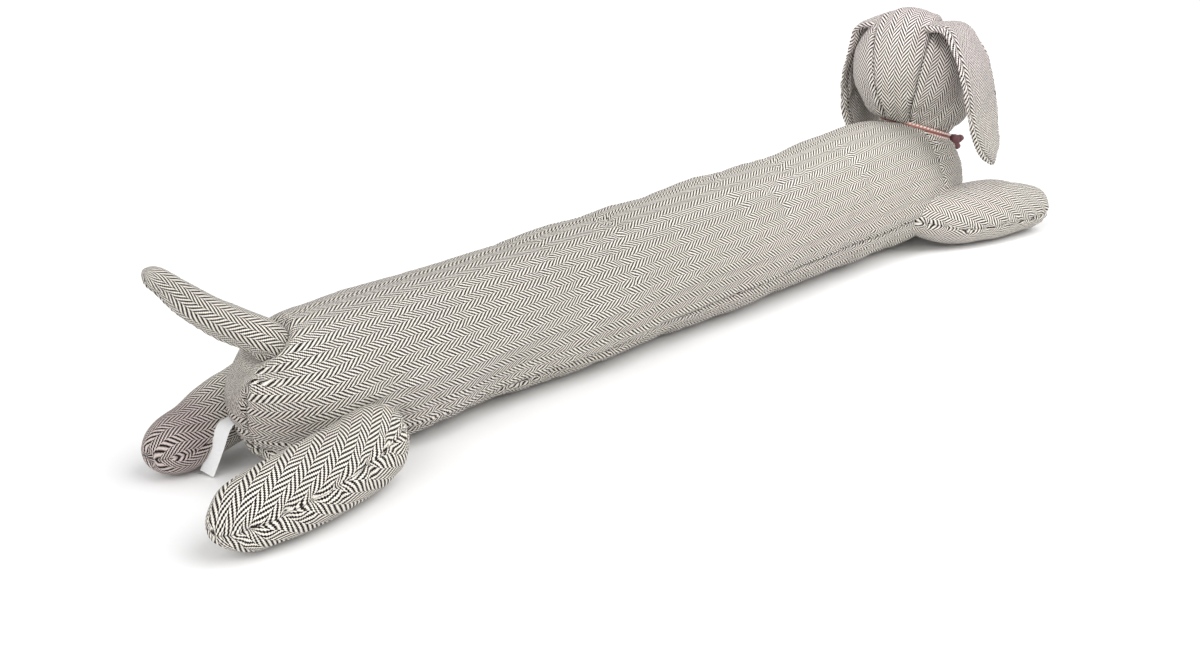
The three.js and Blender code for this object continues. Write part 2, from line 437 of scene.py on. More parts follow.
# A node tree with short calls for the sums in it
class Nodes:
    def __init__(self, name):
        self.material = bpy.data.materials.new(name)
        self.material.use_nodes = True
        self.tree = self.material.node_tree
        self.tree.nodes.clear()
        out = self.node("ShaderNodeOutputMaterial")
        self.shader = self.node("ShaderNodeBsdfPrincipled")
        self.tree.links.new(self.shader.outputs[0], out.inputs[0])

    def node(self, kind, inputs=None):
        node = self.tree.nodes.new(kind)
        for socket, value in (inputs or {}).items():
            self.put(node.inputs[socket], value)
        return node

    def put(self, socket, value):
        if isinstance(value, (int, float, tuple)):
            socket.default_value = value
        else:
            self.tree.links.new(value, socket)

    def sum(self, operation, a, b=None):
        node = self.node("ShaderNodeMath")
        node.operation = operation
        self.put(node.inputs[0], a)
        if b is not None:
            self.put(node.inputs[1], b)
        return node.outputs[0]

    def plus(self, a, b):
        return self.sum("ADD", a, b)

    def minus(self, a, b):
        return self.sum("SUBTRACT", a, b)

    def times(self, a, b):
        return self.sum("MULTIPLY", a, b)

    def floor(self, a):
        return self.sum("FLOOR", a)

    def clamped(self, value):
        return self.node("ShaderNodeClamp", {0: value}).outputs[0]

    def mixed(self, amount, a, b, blend="MIX"):
        node = self.node("ShaderNodeMix")
        node.data_type = "RGBA"
        node.blend_type = blend
        self.put(node.inputs[0], amount)
        self.put(node.inputs[6], a)
        self.put(node.inputs[7], b)
        return node.outputs[2]

    def tinted(self, a, b):
        return self.mixed(1.0, a, b, "MULTIPLY")

    def chosen(self, second, a, b):
        node = self.node("ShaderNodeMix")
        node.data_type = "VECTOR"
        self.put(node.inputs[0], second)
        self.put(node.inputs[4], a)
        self.put(node.inputs[5], b)
        return node.outputs[1]

    def attribute(self, name):
        node = self.node("ShaderNodeAttribute")
        node.attribute_name = name
        return node.outputs[1]

    def place(self):
        return self.node("ShaderNodeTexCoord").outputs["Object"]

    def parts(self, vector):
        return self.node("ShaderNodeSeparateXYZ", {0: vector}).outputs

    def noise(self, scale, detail=2.0):
        inputs = {"Scale": scale, "Detail": detail, "Vector": self.place()}
        return self.node("ShaderNodeTexNoise", inputs).outputs["Fac"]

    def drift(self, scale, amount):
        return self.times(self.minus(self.noise(scale), 0.5), amount)

    def chance(self, value):
        node = self.node("ShaderNodeTexWhiteNoise")
        node.noise_dimensions = "1D"
        self.put(node.inputs["W"], value)
        return node.outputs["Value"]

    # 1 well inside a part of the object, from rows of an axis, where it starts in metres and its slope
    def region(self, rows):
        spot = self.parts(self.place())
        shares = [self.clamped(self.times(self.minus(spot[axis], start), slope)) for axis, start, slope in rows]
        found = shares[0]
        for share in shares[1:]:
            found = self.times(found, share)
        return found

    def bump(self, height, distance, strength):
        node = self.node("ShaderNodeBump", {"Distance": distance, "Strength": strength, "Height": height})
        self.put(self.shader.inputs["Normal"], node.outputs[0])

    def finish(self, roughness, sheen=0.0, specular=0.25):
        self.shader.inputs["Roughness"].default_value = roughness
        self.shader.inputs["Sheen Weight"].default_value = sheen
        self.shader.inputs["Sheen Roughness"].default_value = 0.6
        self.shader.inputs["Specular IOR Level"].default_value = specular
        return self.material


weave = {
    "pick": 0.87,  # mm from one dark weft yarn to the next
    "end": 0.61,  # mm from one pale warp yarn to the next
    "ends": 8,  # warp yarns in a herringbone column
    "jump": 2.0,  # picks that the lines are broken by where a column turns
    "alongDrift": (55, 1.1), "acrossDrift": (70, 0.9),  # noise scale, mm
    # paleInPinkLight is the pale yarn under painted pink light
    "pale": (0.91, 0.868, 0.788, 1), "paleInPinkLight": (0.93, 0.84, 0.82, 1),
    "dark": (0.014, 0.0095, 0.0085, 1), "darkSoft": (0.035, 0.0255, 0.0235, 1),
    "pinkLightAt": ((2, 0.095, 14.0), (0, 0.12, 5.0)),  # painted pink light: the head and the ears are tinted a little pinker
    "mauve": (0.76, 0.69, 0.72, 1),  # painted shade: the end of the rump and the left hind leg are tinted darker and a little mauve
    "mauveAt": ((0, -0.372, -40.0), (2, 0.075, -30.0), (1, -0.028, 40.0)),
    # seamShade is the colour of the painted shadow in each seam's groove and of the dark stitch dashes along it
    "seamShade": (0.03, 0.024, 0.023, 1), "seamWide": 1.6, "stitchPitch": 3.4, "stitchWide": 0.6,
}


# A two and two twill whose lines turn back at each column
def herringbone():
    n = Nodes("herringbone_cloth")
    a, b, c = n.attribute("clothA"), n.attribute("clothB"), n.attribute("clothC")
    onB = n.sum("GREATER_THAN", n.parts(b)[2], 0.0)
    onA = n.sum("GREATER_THAN", n.parts(a)[2], 0.0)
    along, across, _ = n.parts(n.chosen(onA, n.chosen(onB, c, b), a))
    along = n.plus(along, n.drift(*weave["alongDrift"]))
    across = n.plus(across, n.drift(*weave["acrossDrift"]))
    warp = n.sum("DIVIDE", across, weave["end"])
    weft = n.sum("DIVIDE", along, weave["pick"])
    warpNumber, weftNumber = n.floor(warp), n.floor(weft)
    column = n.floor(n.sum("DIVIDE", warpNumber, weave["ends"]))
    inColumn = n.minus(warpNumber, n.times(column, weave["ends"]))
    odd = n.sum("FLOORED_MODULO", column, 2.0)
    back = n.minus(weave["ends"] - 1.0, n.times(inColumn, 2.0))
    climb = n.plus(inColumn, n.times(odd, back))
    jump = n.times(column, weave["jump"])
    step = n.sum("FLOORED_MODULO", n.plus(n.plus(weftNumber, climb), jump), 4.0)
    isDark = n.sum("LESS_THAN", step, 1.5)
    fromWarp, fromWeft = n.minus(n.sum("FRACT", warp), 0.5), n.minus(n.sum("FRACT", weft), 0.5)
    offWarp, offWeft = n.times(n.times(fromWarp, fromWarp), 4.0), n.times(n.times(fromWeft, fromWeft), 4.0)
    offYarn = n.plus(n.times(isDark, offWeft), n.times(n.minus(1.0, isDark), offWarp))
    fluff = n.noise(900, 3)
    height = n.plus(n.minus(1.0, offYarn), n.times(fluff, 0.5))
    warpTone, weftTone = n.chance(warpNumber), n.chance(n.plus(weftNumber, 0.37))
    # painted pink light: the pale yarn turns pinker high up and far forward, on the head and the ears
    pinkLight = n.clamped(n.plus(n.region(weave["pinkLightAt"]), n.drift(9, 1.4)))
    pale = n.mixed(pinkLight, weave["pale"], weave["paleInPinkLight"])
    # a random tone for each pale yarn, and painted shade in the gaps between pale yarns
    yarnToneAndGapShade = n.minus(n.plus(0.86, n.times(warpTone, 0.14)), n.times(offWarp, 0.10))
    grey = n.node("ShaderNodeCombineColor", {0: yarnToneAndGapShade, 1: yarnToneAndGapShade, 2: yarnToneAndGapShade})
    dimmed = n.tinted(pale, grey.outputs[0])
    dark = n.mixed(n.plus(n.times(weftTone, 0.6), n.times(fluff, 0.4)), weave["dark"], weave["darkSoft"])
    colour = n.mixed(isDark, dimmed, dark)
    # painted shade: the cloth at the end of the rump and on the left hind leg is multiplied by a darker mauve
    # tint
    colour = n.mixed(n.region(weave["mauveAt"]), colour, n.tinted(colour, weave["mauve"]))
    # painted shadow in the seam groove, fading out over seamWide mm, and dark stitch dashes along the seam
    seam = n.parts(n.attribute("seamPlace"))
    fromSeam = n.sum("ABSOLUTE", seam[0])
    near = n.minus(1.0, n.sum("MINIMUM", n.sum("DIVIDE", fromSeam, weave["seamWide"]), 1.0))
    beat = n.sum("FRACT", n.sum("DIVIDE", seam[1], weave["stitchPitch"]))
    stitch = n.times(n.sum("LESS_THAN", fromSeam, weave["stitchWide"]), n.sum("LESS_THAN", beat, 0.45))
    seamShadowAndStitches = n.plus(n.times(n.times(near, near), 0.55), n.times(stitch, 0.3))
    n.put(n.shader.inputs["Base Color"], n.mixed(seamShadowAndStitches, colour, weave["seamShade"]))
    n.bump(height, 0.0003, 0.5)
    return n.finish(0.95, 0.02, 0.08)


# A plain yarn or ribbon: two close tones, fine fibres, and ribs where stripe is given
def thread(name, colour, second, scale, roughness, stripe=None):
    n = Nodes(name)
    height = fibre = n.noise(scale, 3)
    n.put(n.shader.inputs["Base Color"], n.mixed(fibre, colour, second))
    if stripe:
        ribs = n.node("ShaderNodeTexWave", {"Scale": stripe, "Distortion": 0.6, "Vector": n.place()})
        height = n.plus(fibre, ribs.outputs["Fac"])
    n.bump(height, 0.0002, 0.7)
    return n.finish(roughness, 0.1)


clothFinish = herringbone()
bandFinish = thread("band_rose", (0.62, 0.30, 0.24, 1), (0.44, 0.19, 0.16, 1), 1100, 0.65, 420)
beadFinish = thread("band_stitch", (0.90, 0.84, 0.80, 1), (0.76, 0.66, 0.61, 1), 1500, 0.6)
coreFinish = thread("band_core", (0.30, 0.13, 0.11, 1), (0.20, 0.08, 0.08, 1), 1500, 0.7)
knotFinish = thread("knot_cord", (0.20, 0.085, 0.09, 1), (0.11, 0.045, 0.055, 1), 1300, 0.6)
labelFinish = thread("label_tape", (0.86, 0.86, 0.86, 1), (0.78, 0.78, 0.79, 1), 700, 0.45, 900)
faceFinish = thread("face_thread", (0.045, 0.035, 0.032, 1), (0.02, 0.016, 0.016, 1), 1200, 0.45, 700)
print("stage: materials")

# Neck: the plane where the head is sewn on, and rings round its axis

neck = {"centre": np.array([315.0, -1.0, 98.0]), "lean": 17.0, "tip": 6.0, "radius": 29.0}
neckTip = math.tan(math.radians(neck["tip"]))
neckAxis = unit(np.array([math.tan(math.radians(neck["lean"])), -neckTip, 1.0]))
acrossNeck = unit(np.cross([0, 1, 0], neckAxis))
besideNeck = np.cross(neckAxis, acrossNeck)


def neckRings(heightsAndRadii, sides):
    turns = np.arange(sides) / sides * 2 * math.pi
    rings = []
    for high, radius in heightsAndRadii:
        ring = neck["centre"] + neckAxis * high + np.outer(np.cos(turns) * radius, acrossNeck)
        rings.append(ring + np.outer(np.sin(turns) * radius, besideNeck))
    return np.array(rings)


def neckOut(turn):
    return acrossNeck * math.cos(turn) + besideNeck * math.sin(turn)


def aboveNeck(points):
    return (points - neck["centre"]) @ neckAxis


def keptAboveNeck(points, least):
    return points + np.outer(np.maximum(least - aboveNeck(points), 0), neckAxis)


# What would be under the floor comes up to it, with a soft edge to the flat
def pressFlat(grid, spread):
    z = grid[..., 2]
    grid[..., 2] = np.maximum(np.where(z > spread, z, spread * np.exp((z - spread) / spread) * 0.999), 0.02)
    return grid


def heldOnFloor(grid):
    return np.where(grid[..., 2] < 1.0, 1.0, 0.0)


def settleTube(name, piece, held):
    held = np.concatenate([[1.0], held.reshape(-1), [1.0]])
    points, faces = withTips(piece["grid"], piece["tips"]), skinFaces(*piece["grid"].shape[:2])
    settleLater(name, points, faces, held, piece["limit"], piece["pressure"])


# Body: a long tube whose rings fan round from the back to the neck, so the cloth runs to the collar

body = {
    # centre, half breadth, half height
    "rows": [
        ((-397, 0, 41), 46, 42), ((-345, 0, 46), 48, 48), ((-250, 0, 47), 47, 47.5), ((-100, 0, 48.5), 50, 50),
        ((100, 0, 50.5), 51, 52), ((240, 0, 53.5), 52, 54), ((285, 0, 52.5), 52, 52.5), ((330, 0, 51), 52, 51),
    ],
    "middle": 52,  # height of the middle line
    "rumpCap": 46, "rumpSteps": 14,
    "turnAt": 285.4, "turnHigh": 107.05, "turnInner": 2.0,  # the line that the rings fan round
    # degrees that a ring has turned, its depth, its half breadth
    "fan": [(0, 105, 52), (20, 107, 51), (33, 102, 48), (49, 88, 43), (57, 77, 38), (65, 67, 33), (73, 58, 29)],
    "fanSteps": 30, "sides": 72, "step": 4.2, "limit": 3.0, "pressure": 4.0,
    # where the under panel starts: x, degrees below level
    "sideSeam": ((-306, -230, -140, -38, 82, 194), (42, 39.8, 34.3, 28, 23.3, 22.1)),
    "swells": ((1.2, 105, 3), (0.45, 40, 4), (0.14, 16, 5)),
    # depth and width of a seam, height and spacing of its gathers
    "seam": (1.9, 1.9, 0.7, 10.5), "rumpSeam": (1.5, 1.6, 0.5, 9.0), "rumpSeamAt": -345,
    "creases": ((104, 0.8, 0.7), (122, 0.7, 2.1), (86, 0.6, 3.9)),  # degrees round, depth, seed
    # places where the near hind leg pulls the skin in, with their size and depth
    "pinches": (((-322, -46, 46), 12, 3.4), ((-326, -43, 64), 9, 1.6), ((-316, -40, 26), 9, 2.0)),
    "tailRadius": 12.0, "gather": 0.55,
    "quarter": 75.4,  # mm of cloth in a quarter of the way round
}


# An upright ring of the rump or back: a fuller left side, and a slope to the end of the rump
def backRing(x, share, centreHigh, wide, high, c, s):
    fuller = np.where(c > 0, 3.4, 2.1)
    wide = np.maximum(wide * np.sqrt(np.maximum(0.0, 1 - share**fuller)), 0.2)
    high = high * (1 - np.where(s > 0, 0.40, 0.14) * share**2.2)
    ring = np.stack([np.full(len(c), x), wide * c, centreHigh + high * s], axis=1)
    ring[:, 0] += 15.0 * ((ring[:, 2] - body["middle"]) / 45) ** 2 * share**1.5
    ring[:, 1] += -0.30 * (ring[:, 2] - body["middle"]) * share**2 - 3.5 * share**1.2
    return ring


def bodyGrid():
    turns = ringTurns(body["sides"])
    c, s = np.cos(turns), np.sin(turns)
    line = Line(body["rows"])
    start, cap = body["rows"][0][0][0], body["rumpCap"]
    straight = body["turnAt"] - start - cap
    count = int(round(straight / body["step"]))
    places = [0.0] + capStops(cap, body["rumpSteps"]) + [cap + straight * k / count for k in range(1, count)]
    fine = np.array([np.concatenate(line.at(d)[0::2]) for d in np.linspace(0, line.length, 400)])
    grid = []
    for distance in places:
        x = start + distance
        sizes = [np.interp(x, fine[:, 0], fine[:, number]) for number in (2, 3, 4)]
        grid.append(backRing(x, max(0.0, 1 - distance / cap), *sizes, c, s))
    angles, depths, halves = np.array(body["fan"], dtype=float).T
    for k in range(body["fanSteps"] + 1):
        leaning = k / body["fanSteps"]
        angle = angles[-1] * k / body["fanSteps"]
        depth = np.interp(angle, angles, depths)
        half = np.interp(angle, angles, halves)
        way = np.array([math.sin(math.radians(angle)), 0, -math.cos(math.radians(angle))])
        across = unit(np.array([0, 1, neckTip * leaning]))
        pivot = np.array([body["turnAt"], -1.0 * leaning, body["turnHigh"]])
        centre = pivot + way * (body["turnInner"] + depth / 2)
        grid.append(centre + np.outer(c * half, across) - np.outer(s * depth / 2, way))
    grid = np.array(grid)
    for _ in range(3):  # evens out the depth and breadth steps of the fan
        inner = grid[-body["fanSteps"] - 3 : -1]
        inner[1:-1] = 0.25 * inner[:-2] + 0.5 * inner[1:-1] + 0.25 * inner[2:]
    return grid


def seamLow(grid):  # degrees below level of the side seams at each ring
    return np.interp(grid[..., 0].mean(axis=1), *body["sideSeam"])[:, None]


def startBody():
    grid = pressFlat(bodyGrid(), 5.0)
    angle, low = np.degrees(ringTurns(body["sides"])), seamLow(grid)
    held = heldOnFloor(grid)
    held[np.minimum(np.abs(angle - 180 - low), np.abs(angle - 360 + low)) < 3.5] = 0.9
    held[:2] = 1
    held[-3:] = 1
    body.update({"grid": grid, "tips": (grid[0].mean(axis=0), grid[-1].mean(axis=0))})
    settleTube("body", body, held)


startBody()

# Legs and paws: tubes that narrow to a rounded tip

limbMake = {
    "sides": 44, "step": 3.6, "shrink": 0.6, "box": 2.1, "limit": 2.2, "pressure": 5.0,
    "seam": (0.75, 1.3, 0.3, 9.0), "seamShade": 2.6,  # the painted seam shadow and the stitch dashes of these seams are that much narrower
}
limbs = {
    "leg_hind_right": {
        "rows": [((-466, -70, 20), 15, 17.5), ((-440, -70, 22.5), 19.5, 21.5), ((-395, -67, 24), 22.5, 24),
                 ((-360, -58, 25), 22, 24), ((-326, -46, 28), 19, 22)],
        "caps": (24, 22), "seam": (183, 156), "grain": 28, "seed": 11,
        "scale": (0.83, 0.81), "pucker": (18.5, 1.8),
    },
    "leg_hind_left": {
        "rows": [((-437, 41, 16.5), 17, 16.5), ((-415, 43, 18.5), 19, 18.5), ((-385, 45, 26.5), 20.5, 21),
                 ((-345, 43, 39), 21, 23.5)],
        "caps": (20, 20), "seam": (178, 176), "grain": -28, "seed": 12,
        "scale": (1.05, 1.02), "pucker": (22, 0.25),
    },
    "paw_front_right": {
        "rows": [((419, -76, 19), 15, 15.5), ((392, -71.5, 22.5), 23.5, 21.5), ((345, -59, 26), 29.5, 27),
                 ((303, -48, 28), 28, 26.5), ((272, -39, 34), 21, 20), ((246, -34, 38), 12, 12)],
        "caps": (17, 12), "seam": (350, 342), "grain": 28, "seed": 13,
        "scale": (0.92, 0.92), "pucker": (21, 1.3),
    },
    "paw_front_left": {
        "rows": [((442, 87, 17.5), 18, 17), ((410, 79, 22), 25, 23), ((358, 60, 26), 29, 27),
                 ((288, 36, 29), 29, 28)],
        "caps": (18, 20), "seam": (188, 188), "grain": -28, "seed": 14,
        "scale": (0.92, 0.92), "pucker": (21, 1.3),
    },
}


def startLimb(name, limb):
    make = limbMake
    sizes = {"shrink": make["shrink"], "box": make["box"]}
    limb.update(tubeGrid(limb["rows"], limb["caps"], make["sides"], make["step"], **sizes))
    limb.update({"limit": make["limit"], "pressure": make["pressure"]})
    limb["tips"][0][2] = max(limb["tips"][0][2], 2)
    held = heldOnFloor(pressFlat(limb["grid"], 4.0))
    held[:1] = 0.6
    held[-4:] = 1
    settleTube(name, limb, held)


for name, limb in limbs.items():
    startLimb(name, limb)

# Tail: a tapered tube that stands up from the rump

tail = {
    "rows": [((-356, -2, 60), 12.5, 12.5), ((-378, 0, 84), 12, 12), ((-409, 7, 107.5), 10.5, 10.5),
             ((-444, 8, 139), 6, 6)],
    "caps": (8, 9), "sides": 32, "step": 2.6, "shrink": 0.3, "limit": 1.2, "pressure": 5.0,
    "swells": ((0.35, 24, 51),), "seam": (0.9, 1.1, 0.35, 7.0), "seamAt": 268.0, "scale": (0.91, 1.05),
}


def startTail():
    tail.update(tubeGrid(tail["rows"], tail["caps"], tail["sides"], tail["step"], shrink=tail["shrink"]))
    held = np.zeros(tail["grid"].shape[:2])
    held[:4] = 1
    held[-2:] = 0.6
    settleTube("tail", tail, held)


startTail()

# Ears: flat filled flaps

headTurn = 16.0  # degrees that the head looks to the dog's left
earMake = {
    "caps": (7, 20), "sides": 40, "step": 3.2, "shrink": 0.2, "box": 2.3, "limit": 1.6, "pressure": 3.0,
    "seam": (1.0, 1.0, 0.35, 7.0),
}
ears = {
    "ear_right": {
        "rows": [((291, -20, 192), 16, 4), ((294, -46, 191), 24, 4), ((294, -58, 176), 29, 4),
                 ((300, -66, 152), 32, 4), ((308, -71, 124), 31.5, 4), ((316, -75, 96), 24, 4),
                 ((320, -78, 76), 13, 3.6)],
        "breadth": levelWay(headTurn - 8), "seed": 16, "hem": 5.5,
    },
    "ear_left": {
        "rows": [((292, 20, 192), 14, 4), ((301, 43, 186), 24, 4), ((307, 54, 167), 30, 4),
                 ((311, 60, 142), 33, 4), ((315, 60, 119), 37, 4), ((319.5, 56, 98), 38.5, 4),
                 ((320.5, 51, 80), 31, 4)],
        "breadth": levelWay(headTurn - 5), "seed": 17, "hem": 9,
    },
}


def startEar(name, ear):
    make = earMake
    sizes = {"shrink": make["shrink"], "box": make["box"]}
    ear.update(tubeGrid(ear["rows"], make["caps"], make["sides"], make["step"], ear["breadth"], **sizes))
    ear.update({"limit": make["limit"], "pressure": make["pressure"]})
    angle = np.degrees(ringTurns(make["sides"]))
    held = np.zeros(ear["grid"].shape[:2])
    held[:, np.minimum(np.abs(angle - 180), np.minimum(angle, 360 - angle)) < 12] = 0.9  # the rim
    held[:3] = 1
    settleTube(name, ear, held)


for name, ear in ears.items():
    startEar(name, ear)

# Head: skull and throat in one closed skin

skull = {
    "centre": np.array([306.0, 4.0, 153.0]),
    # distance ahead of the centre, height over it, half breadth, half height
    "rows": [(-47, 6, 43, 48), (-14, 3, 48.5, 52), (26, -10, 48, 46), (62, -20, 39, 35), (96, -26, 23, 22)],
    "caps": (42, 18), "sides": 48, "step": 5.0, "shrink": 0.6, "voxel": 2.6, "limit": 3.0, "pressure": 4.0,
    "throat": [(0.4, 29), (5, 31), (10, 34), (20, 39.5), (32, 40)],  # height over the neck's plane, radius
    "swells": ((0.8, 60, 61), (0.3, 22, 62)), "seam": (1.9, 1.5, 0.6, 8.0), "lean": 11,
}
gusset = {
    "angle": np.array([-90, -60, -40, -20, 5, 30, 60, 90, 130, 180, 270]),
    "half": np.array([9, 10.5, 13, 18, 21.5, 24, 26, 26, 20, 13, 9]),
}
faceWay = levelWay(headTurn)
leftWay = np.array([-faceWay[1], faceWay[0], 0.0])


def headPlace(points):
    away = points - skull["centre"]
    return away @ faceWay, away @ leftWay, away[..., 2]


# Distance from the seams beside the middle panel, more than 0 on that panel
def gussetGap(points):
    ahead, side, up = headPlace(points)
    turn = np.degrees(np.arctan2(up, -(ahead - 4)))
    turn = np.where(turn < -90, turn + 360, turn)
    return np.interp(turn, gusset["angle"], gusset["half"]) - np.abs(side), turn


def startHead():
    rows = [(skull["centre"] + faceWay * ahead + np.array([0, 0, up]), wide, high)
            for ahead, up, wide, high in skull["rows"]]
    top = tubeGrid(rows, skull["caps"], skull["sides"], skull["step"], shrink=skull["shrink"])
    rings = neckRings(skull["throat"], skull["sides"])
    points, throat = withTips(top["grid"], top["tips"]), withTips(rings)
    faces = skinFaces(*top["grid"].shape[:2])
    faces += [tuple(i + len(points) for i in f) for f in skinFaces(*rings.shape[:2])]
    points, faces, edges = joinedSkin("rough_head", np.concatenate([points, throat]), faces, skull["voxel"])
    high = aboveNeck(points)
    points = relax(points, edges, 6, 0.5, high < 1.4)
    points = relax(points, edges, 10, 0.45, high < 2.4)
    points = keptAboveNeck(points, 0.3)
    held = np.where(np.abs(gussetGap(points)[0]) < 1.6, 0.85, 0.0)
    held = np.where(aboveNeck(points) < 4, 1.0, held)
    settleLater("head", points, faces, held, skull["limit"], skull["pressure"])
    return faces


headFaces = startHead()
print("stage: shapes ready to settle")

settled = settleAll()
print("stage: settled")

# Finished skins

made = {}


# A settled tube with twice the rings and sides, and what is measured on it
class Skin:
    def __init__(self, name, piece):
        points = settled[name]
        self.tips = (points[0], points[-1])
        self.grid = finer(points[1:-1].reshape(piece["grid"].shape))
        sides = self.grid.shape[1]
        self.turns = ((np.arange(sides) / 2 + 0.5) / (sides / 2) * 2 * math.pi)[None, :]
        self.angle = np.degrees(self.turns) % 360
        self.normals = gridNormals(self.grid)
        self.around, self.total = ringRun(self.grid)
        self.radius = self.total / (2 * math.pi)
        if "distances" in piece:
            self.distances = finerList(piece["distances"])
            self.along = np.repeat(self.distances[:, None], sides, axis=1)

    def lift(self, relief):
        self.grid = self.grid + self.normals * relief[..., None]


def layers(*values):
    return np.stack(np.broadcast_arrays(*values), axis=-1)


# Each cloth layer holds mm along the warp, mm across it and the distance into its panel. The finish reads
# clothA where that distance is over 0, else clothB, else clothC.
def addSkin(node, points, faces, clothA, clothB, clothC, fromSeam, along):
    piece = meshObject("cloth_" + node, points, faces, clothFinish)
    laid = {"clothA": clothA, "clothB": clothB, "clothC": clothC, "seamPlace": layers(fromSeam, along, 0.0)}
    for name, values in laid.items():
        values = withTips(values) if values.ndim == 3 else values
        layer = piece.data.attributes.new(name, "FLOAT_VECTOR", "POINT")
        layer.data.foreach_set("vector", np.asarray(values, dtype=np.float32).ravel())
    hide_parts(node)
    return piece


# The sewn root of a piece stops just under the skin of the piece that it is sewn to
def tuckUnder(points, tree, depth=0.6):
    out = points.copy()
    for index, spot in enumerate(toRow(points)):
        hit, normal, _, _ = tree.find_nearest(Vector(spot), 0.09)
        if hit is None:
            continue
        away = Vector(spot) - hit
        below = -away.dot(normal) * 1000
        # a nearest place on a sharp edge says nothing about inside and outside
        if below > depth and below > 600 * away.length:
            out[index] = fromRow(np.array(hit) - np.array(normal) * depth / 1000)
    return out


def addTube(node, skin, sewnTo, *cloth):
    points = withTips(skin.grid, skin.tips)
    for tree in sewnTo:
        points = tuckUnder(points, tree)
    return addSkin(node, points, skinFaces(*skin.grid.shape[:2]), *cloth)


def treeOf(piece):
    return BVHTree.FromObject(piece, bpy.context.evaluated_depsgraph_get())


def fromLine(points, rows, share):  # distance from the first share of a line
    line = Line(rows)
    found = np.full(points.shape[:-1], 99.0)
    for distance in np.linspace(0, line.length * share, 24):
        found = np.minimum(found, np.linalg.norm(points - line.at(distance)[0], axis=2))
    return found


def bodyRelief(skin, along, nearGap, farGap, fromRear, fromTail):
    grid, angle = skin.grid, skin.angle
    x, high = grid[..., 0], grid[..., 2]
    relief = swells(grid, body["swells"])
    relief += seamRelief(nearGap, along, 21, *body["seam"])
    relief += seamRelief(farGap, along, 22, *body["seam"])
    for at, deep, seed in body["creases"]:  # long and soft along the back, from packing
        crease = arc(angle - at - 3.0 * np.sin(along / 120 + seed), skin.radius)
        here = 0.6 + 0.4 * np.sin(along / 95 + seed)
        relief += -deep * here * bell(crease, 4.0) + 0.5 * deep * here * bell(crease - 8, 5.5)
    relief += seamRelief(fromRear, high, 23, *body["rumpSeam"]) * (x < body["rumpSeamAt"])
    relief += -2.4 * bell(fromTail, 2.0) + 1.6 * bell(fromTail - 6.5, 3.6)  # the fold round the tail's root
    relief += 3.0 * bell(x - 235, 45) * bell(angle - 72, 30)  # the fuller shoulder
    for centre, size, deep in body["pinches"]:
        relief -= deep * bell(np.linalg.norm(grid - np.array(centre), axis=2), size)
    away = grid - np.array(body["pinches"][0][0])
    far = np.linalg.norm(away, axis=2)
    spoke = np.arctan2(away[..., 2], away[..., 0])
    relief += 0.8 * np.sin(7 * spoke + 0.6) * bell(far - 14, 9) * (far > 3)
    toNeck = np.arange(len(grid))[::-1][:, None]
    gathers = np.sin(skin.turns * 23 + 1.5 * np.sin(skin.turns * 5))
    relief += body["gather"] * bell(toNeck, 9.0) * gathers
    return relief * (smoothStep(high, 0.0, 6.0) * smoothStep(toNeck, 1, 4))


# The near half of the cloth runs from the near side line, the far half from the far one. Past the last
# upright ring it keeps the body's direction over the chest.
def bodyCloth(skin, x, along, nearGap, farGap):
    grid, around, total, quarter = skin.grid, skin.around, skin.total, body["quarter"]
    left, high = grid[..., 1], grid[..., 2] - body["middle"]
    level = skin.angle[0]
    near, down = np.argmin(np.abs(level - 180)), np.argmin(np.abs(level - 270))
    far = np.argmin(np.minimum(level, 360 - level))
    farRun = around - around[:, far : far + 1]
    farRun = np.where(farRun > total / 2, farRun - total, farRun)
    stretch = quarter * 4 / total
    rump = int(np.argmin(np.abs(x.mean(axis=1) - body["rumpSeamAt"])))
    stretch[:rump] = stretch[rump]
    acrossNear = (around[:, near : near + 1] - around) * stretch
    acrossFar = 2 * quarter - farRun * stretch
    start = len(grid) - 2 * body["fanSteps"] - 1
    past = np.maximum(x - body["turnAt"], 0)
    out = np.hypot(left, high)
    reach = np.hypot(past, out) * np.arctan2(past, out)
    nearTurn, farTurn = np.arctan2(high, -left), np.arctan2(high, left)
    onChest = np.arange(len(grid))[:, None] >= start
    alongUp = np.where(onChest, along[start] + reach - reach[start], along)
    middle = body["middle"]
    acrossNear = np.where(onChest, acrossNear[start] + (nearTurn - nearTurn[start]) * middle, acrossNear)
    acrossFar = np.where(onChest, acrossFar[start] - (farTurn - farTurn[start]) * middle, acrossFar)
    under = around - around[:, down : down + 1]
    clothA = layers(alongUp, acrossNear, np.minimum(-nearGap, arc(skin.angle - 90, skin.radius)))
    clothB = layers(alongUp, acrossFar, np.where(skin.angle < 180, 20.0, -farGap))
    return clothA, clothB, layers(along + 1.7, under + 3.1, 0.0)


def finishBody():
    skin = Skin("body", body)
    along, fromRear = lineRun(skin.grid, len(skin.grid) // 2), lineRun(skin.grid, 0)
    low = seamLow(skin.grid)
    nearGap = arc(skin.angle - 180 - low, skin.radius)  # more than 0 on the under panel
    farGap = arc(360 - low - skin.angle, skin.radius)
    fromTail = fromLine(skin.grid, tail["rows"], 0.7) - body["tailRadius"]
    x = skin.grid[..., 0]
    skin.lift(bodyRelief(skin, along, nearGap, farGap, fromRear, fromTail))
    skin.grid[..., 2] = np.maximum(skin.grid[..., 2], 0.0)
    isUnder = (nearGap > 0) & (farGap > 0)
    fromSeam = np.where(isUnder, -1, 1) * np.minimum(np.abs(nearGap), np.abs(farGap))
    onRump = (fromRear < 6) & (x < body["rumpSeamAt"])
    fromSeam = np.where(onRump, np.minimum(np.abs(fromSeam), fromRear + 0.3), fromSeam)
    fromSeam = np.where(fromTail < 4, np.minimum(np.abs(fromSeam), np.maximum(fromTail, 0) * 0.7), fromSeam)
    return addTube("body", skin, (), *bodyCloth(skin, x, along, nearGap, farGap), fromSeam, along)


made["body"] = finishBody()
bodyTree = treeOf(made["body"])


